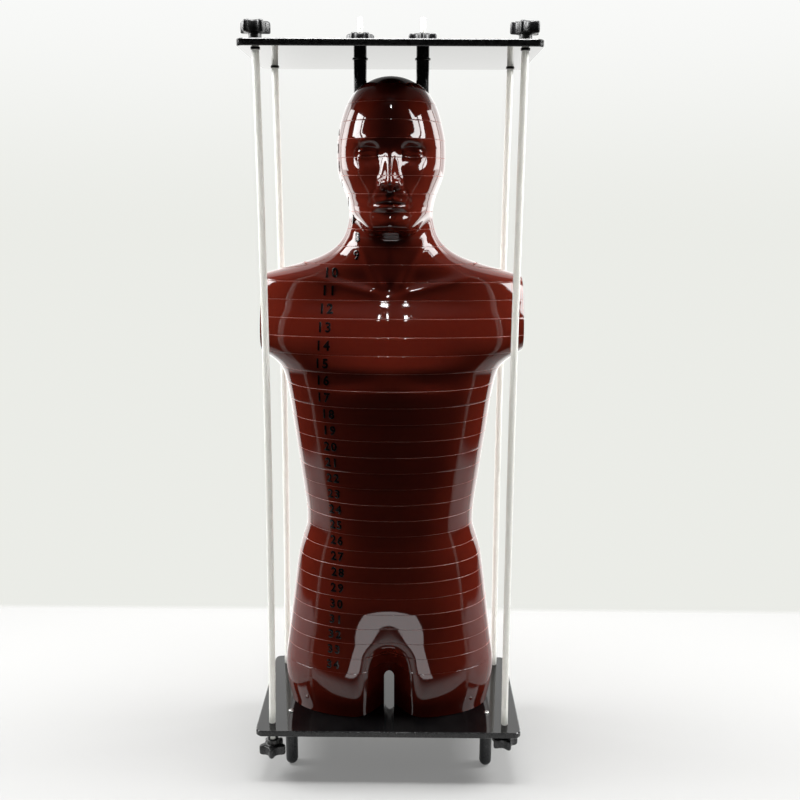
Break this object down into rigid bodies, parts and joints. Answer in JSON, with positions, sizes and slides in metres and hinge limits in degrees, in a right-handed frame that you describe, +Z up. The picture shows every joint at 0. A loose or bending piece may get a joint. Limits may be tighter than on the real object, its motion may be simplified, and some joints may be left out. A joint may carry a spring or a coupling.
{
  "type": "sectional torso phantom in a clamping stand",
  "caption": "Head-and-torso figure sawn into flat stacked slices, clamped between two plates by tie rods with star knobs, on short legs.",
  "frame": {"origin": "on the floor, under the middle of the two plates", "axes": "+Z up, the figure faces -Y, +X to the right seen from its front"},
  "size_m": [0.406, 0.2458, 1.1376],
  "materials": {
    "figure": "dark red cast resin, polished to a high gloss",
    "plate": "glossy black acrylic sheet",
    "nylon": "ivory nylon rod, satin",
    "knob": "moulded black plastic, semi-gloss",
    "post": "turned black acetal, polished",
    "leg": "turned black acetal, satin",
    "screw": "bright stainless steel",
    "washer": "black fibre washer"
  },
  "bodies": {
    "stand": {"bottom_plate": "plate", "tie_rod_front_left": "nylon", "tie_rod_front_right": "nylon", "tie_rod_rear_left": "nylon", "tie_rod_rear_right": "nylon", "legs": "leg", "leg_screws": "screw", "rod_washers": "washer", "slice_35": "figure"},
    "slice_34": {"slice_34": "figure"},
    "slice_33": {"slice_33": "figure"},
    "slice_32": {"slice_32": "figure"},
    "slice_31": {"slice_31": "figure"},
    "slice_30": {"slice_30": "figure"},
    "slice_29": {"slice_29": "figure"},
    "slice_28": {"slice_28": "figure"},
    "slice_27": {"slice_27": "figure"},
    "slice_26": {"slice_26": "figure"},
    "slice_25": {"slice_25": "figure"},
    "slice_24": {"slice_24": "figure"},
    "slice_23": {"slice_23": "figure"},
    "slice_22": {"slice_22": "figure"},
    "slice_21": {"slice_21": "figure"},
    "slice_20": {"slice_20": "figure"},
    "slice_19": {"slice_19": "figure"},
    "slice_18": {"slice_18": "figure"},
    "slice_17": {"slice_17": "figure"},
    "slice_16": {"slice_16": "figure"},
    "slice_15": {"slice_15": "figure"},
    "slice_14": {"slice_14": "figure"},
    "slice_13": {"slice_13": "figure"},
    "slice_12": {"slice_12": "figure"},
    "slice_11": {"slice_11": "figure"},
    "slice_10": {"slice_10": "figure"},
    "slice_09": {"slice_09": "figure"},
    "slice_08": {"slice_08": "figure"},
    "slice_07": {"slice_07": "figure"},
    "slice_06": {"slice_06": "figure"},
    "slice_05": {"slice_05": "figure"},
    "slice_04": {"slice_04": "figure"},
    "slice_03": {"slice_03": "figure"},
    "slice_02": {"slice_02": "figure"},
    "slice_01": {"slice_01": "figure"},
    "slice_00": {"slice_00": "figure"},
    "head_plate": {"top_plate": "plate", "post_left": "post", "post_right": "post", "post_stud_left": "nylon", "post_stud_right": "nylon", "post_washers": "washer"},
    "knob_top_front_left": {"knob_top_front_left": "knob"},
    "knob_bottom_front_left": {"knob_bottom_front_left": "knob"},
    "knob_top_front_right": {"knob_top_front_right": "knob"},
    "knob_bottom_front_right": {"knob_bottom_front_right": "knob"},
    "knob_top_rear_left": {"knob_top_rear_left": "knob"},
    "knob_bottom_rear_left": {"knob_bottom_rear_left": "knob"},
    "knob_top_rear_right": {"knob_top_rear_right": "knob"},
    "knob_bottom_rear_right": {"knob_bottom_rear_right": "knob"},
    "knob_post_left": {"knob_post_left": "knob"},
    "knob_post_right": {"knob_post_right": "knob"}
  },
  "joints": [
    {"name": "head_plate_lift", "type": "slide", "parent": "slice_00", "child": "head_plate", "axis": [0, 0, 1], "range_m": [0, 0.12]},
    {"name": "knob_top_front_left_turn", "type": "hinge", "parent": "head_plate", "child": "knob_top_front_left", "pos_m": [-0.18, -0.09693, 1.0906], "axis": [0, 0, 1], "continuous": true},
    {"name": "knob_top_front_right_turn", "type": "hinge", "parent": "head_plate", "child": "knob_top_front_right", "pos_m": [0.18, -0.09693, 1.0906], "axis": [0, 0, 1], "continuous": true},
    {"name": "knob_top_rear_left_turn", "type": "hinge", "parent": "head_plate", "child": "knob_top_rear_left", "pos_m": [-0.18, 0.09693, 1.0906], "axis": [0, 0, 1], "continuous": true},
    {"name": "knob_top_rear_right_turn", "type": "hinge", "parent": "head_plate", "child": "knob_top_rear_right", "pos_m": [0.18, 0.09693, 1.0906], "axis": [0, 0, 1], "continuous": true},
    {"name": "knob_post_left_turn", "type": "hinge", "parent": "head_plate", "child": "knob_post_left", "pos_m": [-0.045, 0.006, 1.0906], "axis": [0, 0, 1], "continuous": true},
    {"name": "knob_post_right_turn", "type": "hinge", "parent": "head_plate", "child": "knob_post_right", "pos_m": [0.045, 0.006, 1.0906], "axis": [0, 0, 1], "continuous": true},
    {"name": "knob_bottom_front_left_turn", "type": "hinge", "parent": "stand", "child": "knob_bottom_front_left", "pos_m": [-0.18, -0.09693, 0.08], "axis": [0, 0, 1], "continuous": true},
    {"name": "knob_bottom_front_right_turn", "type": "hinge", "parent": "stand", "child": "knob_bottom_front_right", "pos_m": [0.18, -0.09693, 0.08], "axis": [0, 0, 1], "continuous": true},
    {"name": "knob_bottom_rear_left_turn", "type": "hinge", "parent": "stand", "child": "knob_bottom_rear_left", "pos_m": [-0.18, 0.09693, 0.08], "axis": [0, 0, 1], "continuous": true},
    {"name": "knob_bottom_rear_right_turn", "type": "hinge", "parent": "stand", "child": "knob_bottom_rear_right", "pos_m": [0.18, 0.09693, 0.08], "axis": [0, 0, 1], "continuous": true},
    {"name": "slice_00_lift", "type": "slide", "parent": "slice_01", "child": "slice_00", "axis": [0, 0, 1], "range_m": [0, 0.03]},
    {"name": "slice_01_lift", "type": "slide", "parent": "slice_02", "child": "slice_01", "axis": [0, 0, 1], "range_m": [0, 0.03]},
    {"name": "slice_02_lift", "type": "slide", "parent": "slice_03", "child": "slice_02", "axis": [0, 0, 1], "range_m": [0, 0.03]},
    {"name": "slice_03_lift", "type": "slide", "parent": "slice_04", "child": "slice_03", "axis": [0, 0, 1], "range_m": [0, 0.03]},
    {"name": "slice_04_lift", "type": "slide", "parent": "slice_05", "child": "slice_04", "axis": [0, 0, 1], "range_m": [0, 0.03]},
    {"name": "slice_05_lift", "type": "slide", "parent": "slice_06", "child": "slice_05", "axis": [0, 0, 1], "range_m": [0, 0.03]},
    {"name": "slice_06_lift", "type": "slide", "parent": "slice_07", "child": "slice_06", "axis": [0, 0, 1], "range_m": [0, 0.03]},
    {"name": "slice_07_lift", "type": "slide", "parent": "slice_08", "child": "slice_07", "axis": [0, 0, 1], "range_m": [0, 0.03]},
    {"name": "slice_08_lift", "type": "slide", "parent": "slice_09", "child": "slice_08", "axis": [0, 0, 1], "range_m": [0, 0.03]},
    {"name": "slice_09_lift", "type": "slide", "parent": "slice_10", "child": "slice_09", "axis": [0, 0, 1], "range_m": [0, 0.03]},
    {"name": "slice_10_lift", "type": "slide", "parent": "slice_11", "child": "slice_10", "axis": [0, 0, 1], "range_m": [0, 0.03]},
    {"name": "slice_11_lift", "type": "slide", "parent": "slice_12", "child": "slice_11", "axis": [0, 0, 1], "range_m": [0, 0.03]},
    {"name": "slice_12_lift", "type": "slide", "parent": "slice_13", "child": "slice_12", "axis": [0, 0, 1], "range_m": [0, 0.03]},
    {"name": "slice_13_lift", "type": "slide", "parent": "slice_14", "child": "slice_13", "axis": [0, 0, 1], "range_m": [0, 0.03]},
    {"name": "slice_14_lift", "type": "slide", "parent": "slice_15", "child": "slice_14", "axis": [0, 0, 1], "range_m": [0, 0.03]},
    {"name": "slice_15_lift", "type": "slide", "parent": "slice_16", "child": "slice_15", "axis": [0, 0, 1], "range_m": [0, 0.03]},
    {"name": "slice_16_lift", "type": "slide", "parent": "slice_17", "child": "slice_16", "axis": [0, 0, 1], "range_m": [0, 0.03]},
    {"name": "slice_17_lift", "type": "slide", "parent": "slice_18", "child": "slice_17", "axis": [0, 0, 1], "range_m": [0, 0.03]},
    {"name": "slice_18_lift", "type": "slide", "parent": "slice_19", "child": "slice_18", "axis": [0, 0, 1], "range_m": [0, 0.03]},
    {"name": "slice_19_lift", "type": "slide", "parent": "slice_20", "child": "slice_19", "axis": [0, 0, 1], "range_m": [0, 0.03]},
    {"name": "slice_20_lift", "type": "slide", "parent": "slice_21", "child": "slice_20", "axis": [0, 0, 1], "range_m": [0, 0.03]},
    {"name": "slice_21_lift", "type": "slide", "parent": "slice_22", "child": "slice_21", "axis": [0, 0, 1], "range_m": [0, 0.03]},
    {"name": "slice_22_lift", "type": "slide", "parent": "slice_23", "child": "slice_22", "axis": [0, 0, 1], "range_m": [0, 0.03]},
    {"name": "slice_23_lift", "type": "slide", "parent": "slice_24", "child": "slice_23", "axis": [0, 0, 1], "range_m": [0, 0.03]},
    {"name": "slice_24_lift", "type": "slide", "parent": "slice_25", "child": "slice_24", "axis": [0, 0, 1], "range_m": [0, 0.03]},
    {"name": "slice_25_lift", "type": "slide", "parent": "slice_26", "child": "slice_25", "axis": [0, 0, 1], "range_m": [0, 0.03]},
    {"name": "slice_26_lift", "type": "slide", "parent": "slice_27", "child": "slice_26", "axis": [0, 0, 1], "range_m": [0, 0.03]},
    {"name": "slice_27_lift", "type": "slide", "parent": "slice_28", "child": "slice_27", "axis": [0, 0, 1], "range_m": [0, 0.03]},
    {"name": "slice_28_lift", "type": "slide", "parent": "slice_29", "child": "slice_28", "axis": [0, 0, 1], "range_m": [0, 0.03]},
    {"name": "slice_29_lift", "type": "slide", "parent": "slice_30", "child": "slice_29", "axis": [0, 0, 1], "range_m": [0, 0.03]},
    {"name": "slice_30_lift", "type": "slide", "parent": "slice_31", "child": "slice_30", "axis": [0, 0, 1], "range_m": [0, 0.03]},
    {"name": "slice_31_lift", "type": "slide", "parent": "slice_32", "child": "slice_31", "axis": [0, 0, 1], "range_m": [0, 0.03]},
    {"name": "slice_32_lift", "type": "slide", "parent": "slice_33", "child": "slice_32", "axis": [0, 0, 1], "range_m": [0, 0.03]},
    {"name": "slice_33_lift", "type": "slide", "parent": "slice_34", "child": "slice_33", "axis": [0, 0, 1], "range_m": [0, 0.03]},
    {"name": "slice_34_lift", "type": "slide", "parent": "stand", "child": "slice_34", "axis": [0, 0, 1], "range_m": [0, 0.03]}
  ]
}
